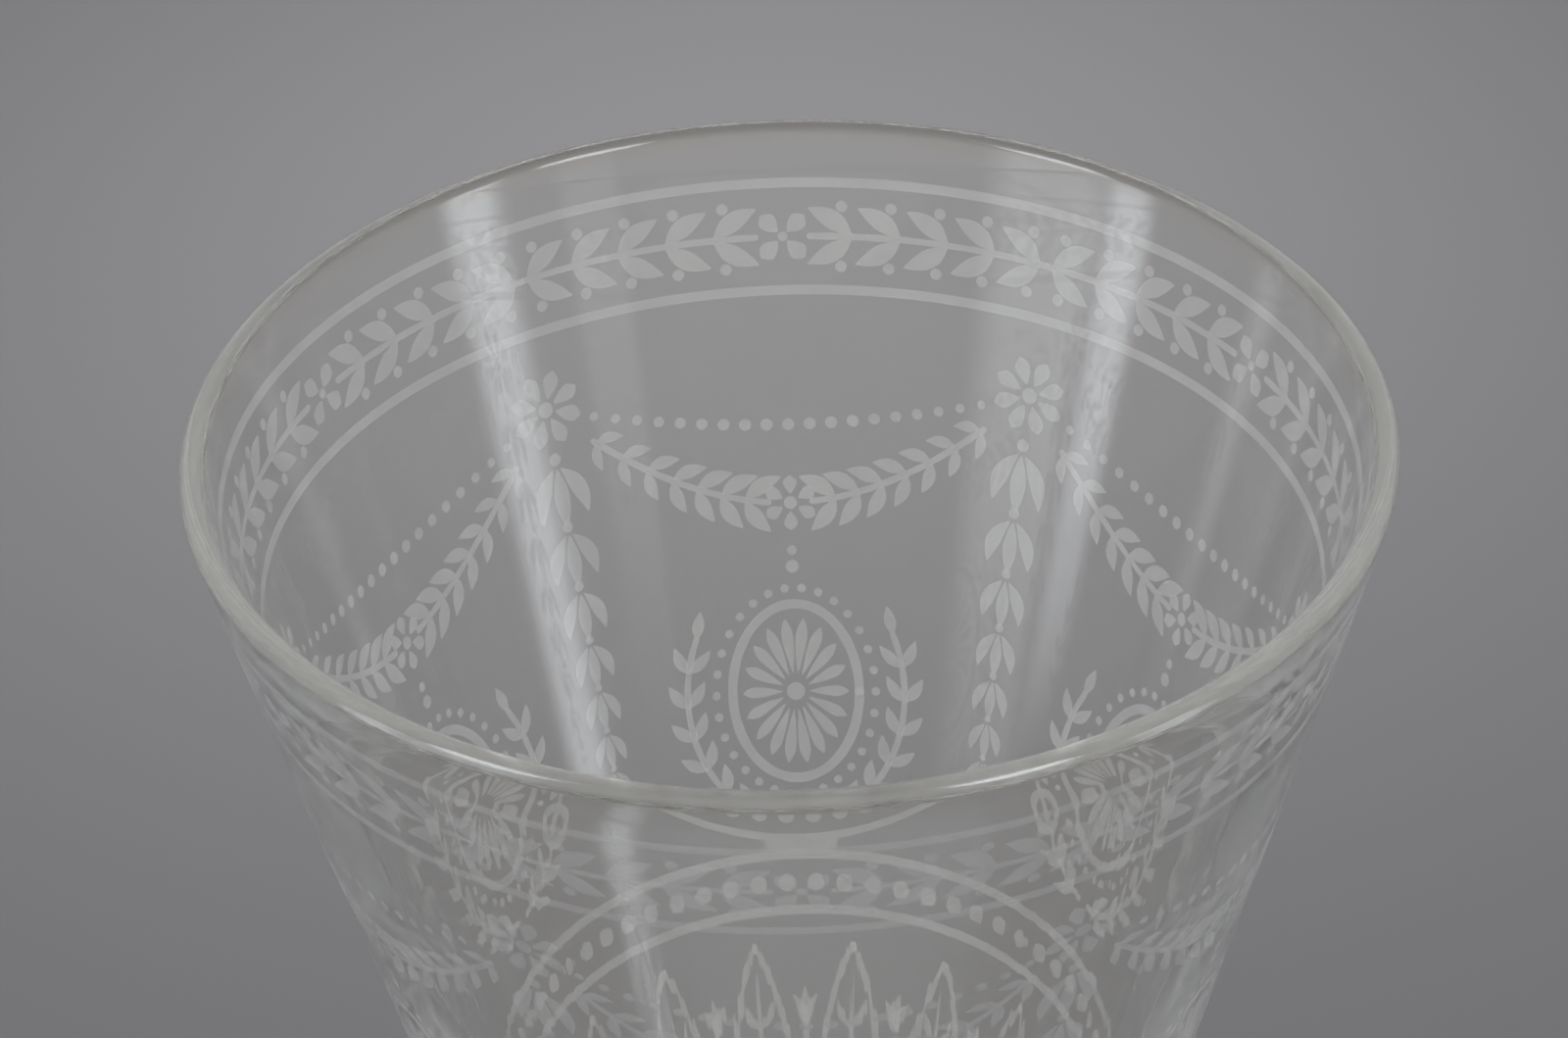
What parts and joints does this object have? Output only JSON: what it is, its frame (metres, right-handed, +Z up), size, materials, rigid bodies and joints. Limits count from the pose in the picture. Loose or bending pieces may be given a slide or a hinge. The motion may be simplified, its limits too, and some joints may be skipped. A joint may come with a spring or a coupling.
{
  "type": "cordial glass",
  "caption": "Small stemmed cordial glass: thin conical bowl closed by a round bottom, slender waisted stem between fused wafers, and a low spun foot. Holds a short drink.",
  "frame": {"origin": "centre of the ring that the foot stands on, at the height of the surface under it", "axes": "+Z up along the axis that the glass is turned about; +X and +Y are any two directions square to it"},
  "size_m": [0.05, 0.05, 0.1],
  "materials": {
    "clear_glass": "polished",
    "etched_glass": "matt"
  },
  "bodies": {
    "root": {"bowl": "clear_glass", "upper_merese": "clear_glass", "stem": "clear_glass", "lower_merese": "clear_glass", "foot": "clear_glass"}
  },
  "joints": []
}
